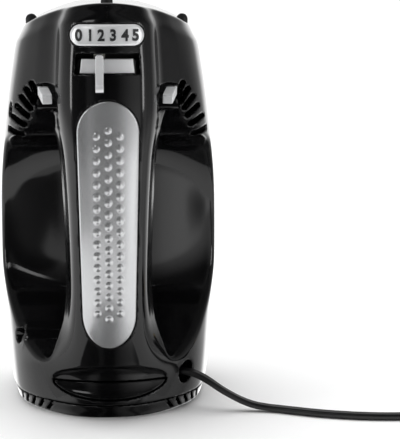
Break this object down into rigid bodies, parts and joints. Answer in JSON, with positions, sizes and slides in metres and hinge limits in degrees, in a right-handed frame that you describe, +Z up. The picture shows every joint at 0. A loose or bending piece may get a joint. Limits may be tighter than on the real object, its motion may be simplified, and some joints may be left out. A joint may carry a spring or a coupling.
{
  "type": "hand mixer",
  "caption": "Hand mixer with a loop handle, slide speed control, tab beater eject and push-button cord rewind, standing on its heel with its flat cord led out and coiled.",
  "frame": {"origin": "middle of the heel's flat underside, on the surface it stands on, at the body's left-right middle plane", "axes": "+Z up from heel to nose, along the handle; -Y the handle side, towards the viewer; +Y the side the beaters plug into; +X to the right, the side the cord leaves"},
  "size_m": [0.2735, 0.1357, 0.1847],
  "materials": {
    "gloss_black_shell": "high gloss moulded ABS",
    "rubber": "matt",
    "silver_trim": "satin silver lacquer over ABS",
    "satin_black": "satin",
    "carbon": "matt pressed carbon",
    "white_nylon": "natural nylon",
    "copper": "enamelled copper wire",
    "laminations": "stacked steel sheet",
    "brass": "turned brass",
    "steel": "bright steel",
    "flex_pvc": "semi-matt PVC"
  },
  "bodies": {
    "body": {"brush_holder_left": "brass", "brush_holder_right": "brass", "brush_left": "carbon", "brush_right": "carbon", "cord_coil": "flex_pvc", "cord_inner_lead": "flex_pvc", "cord_lead": "flex_pvc", "cord_tail": "flex_pvc", "cord_tie": "flex_pvc", "field_coil_back": "copper", "field_coil_front": "copper", "front_bearing": "brass", "gear_frame": "steel", "grip_plate": "silver_trim", "heel_cap": "gloss_black_shell", "housing_left": "gloss_black_shell", "housing_right": "gloss_black_shell", "nose_bumper_centre": "rubber", "nose_bumper_left": "rubber", "nose_bumper_right": "rubber", "number_plate": "silver_trim", "plug_blade_left": "brass", "plug_blade_right": "brass", "plug_body": "flex_pvc", "plug_relief": "flex_pvc", "rear_bearing": "brass", "rear_bracket": "steel", "reel_axle": "steel", "screw_handle": "steel", "screw_heel": "steel", "screw_nose": "steel", "speed_switch": "satin_black", "speed_track": "silver_trim", "spindle_bush_left": "brass", "spindle_bush_right": "brass", "stator_core": "laminations"},
    "speed_slide": {"speed_lever": "silver_trim", "switch_slider": "white_nylon"},
    "eject_pull": {"eject_tab_left": "silver_trim", "eject_tab_right": "silver_trim", "eject_yoke": "satin_black", "eject_spring": "steel"},
    "eject_push": {"ejector_plate": "satin_black"},
    "armature": {"motor_shaft": "steel", "armature_core": "laminations", "armature_winding_front": "copper", "armature_winding_rear": "copper", "commutator": "copper", "cooling_fan": "satin_black", "worm": "steel"},
    "drive_left": {"beater_gear_left": "white_nylon", "beater_spindle_left": "steel"},
    "drive_right": {"beater_gear_right": "white_nylon", "beater_spindle_right": "steel"},
    "reel": {"cord_reel": "white_nylon", "cord_on_reel": "flex_pvc", "reel_spring": "steel"},
    "rewind": {"rewind_button": "gloss_black_shell", "rewind_spring": "steel"},
    "brake": {"brake_lever": "satin_black"}
  },
  "joints": [
    {"name": "speed_slide", "type": "slide", "parent": "body", "child": "speed_slide", "axis": [1, 0, 0], "range_m": [-0.0079, 0.0148]},
    {"name": "eject_pull", "type": "slide", "parent": "body", "child": "eject_pull", "axis": [0, 0, -1], "range_m": [0, 0.0035], "stiffness_N_per_m": 900, "springref_m": -0.001, "deforming": ["eject_spring"]},
    {"name": "eject_push", "type": "slide", "parent": "body", "child": "eject_push", "axis": [0, 1, 0], "range_m": [0, 0.004]},
    {"name": "armature_spin", "type": "hinge", "parent": "body", "child": "armature", "pos_m": [0, 0.031, 0.09], "axis": [0, 0, 1], "continuous": true},
    {"name": "drive_left_spin", "type": "hinge", "parent": "body", "child": "drive_left", "pos_m": [-0.021, 0.031, 0.14], "axis": [0, 1, 0], "continuous": true},
    {"name": "drive_right_spin", "type": "hinge", "parent": "body", "child": "drive_right", "pos_m": [0.021, 0.031, 0.14], "axis": [0, 1, 0], "continuous": true},
    {"name": "reel_spin", "type": "hinge", "parent": "body", "child": "reel", "pos_m": [0, 0.008, 0.017], "axis": [0, 0, 1], "continuous": true},
    {"name": "rewind_press", "type": "slide", "parent": "body", "child": "rewind", "axis": [0, 1, 0], "range_m": [0, 0.0028], "stiffness_N_per_m": 400, "springref_m": -0.001, "deforming": ["rewind_spring"]},
    {"name": "brake_release", "type": "hinge", "parent": "body", "child": "brake", "pos_m": [0, -0.032, 0.0135], "axis": [0, 0, 1], "range_deg": [0, 15.5]}
  ],
  "couplings": [
    {"joint": "eject_push", "follows": "eject_pull", "ratio": 1.1429},
    {"joint": "drive_left_spin", "follows": "armature_spin", "ratio": 0.1},
    {"joint": "drive_right_spin", "follows": "armature_spin", "ratio": -0.1},
    {"joint": "brake_release", "follows": "rewind_press", "rad_per_m": 90}
  ]
}
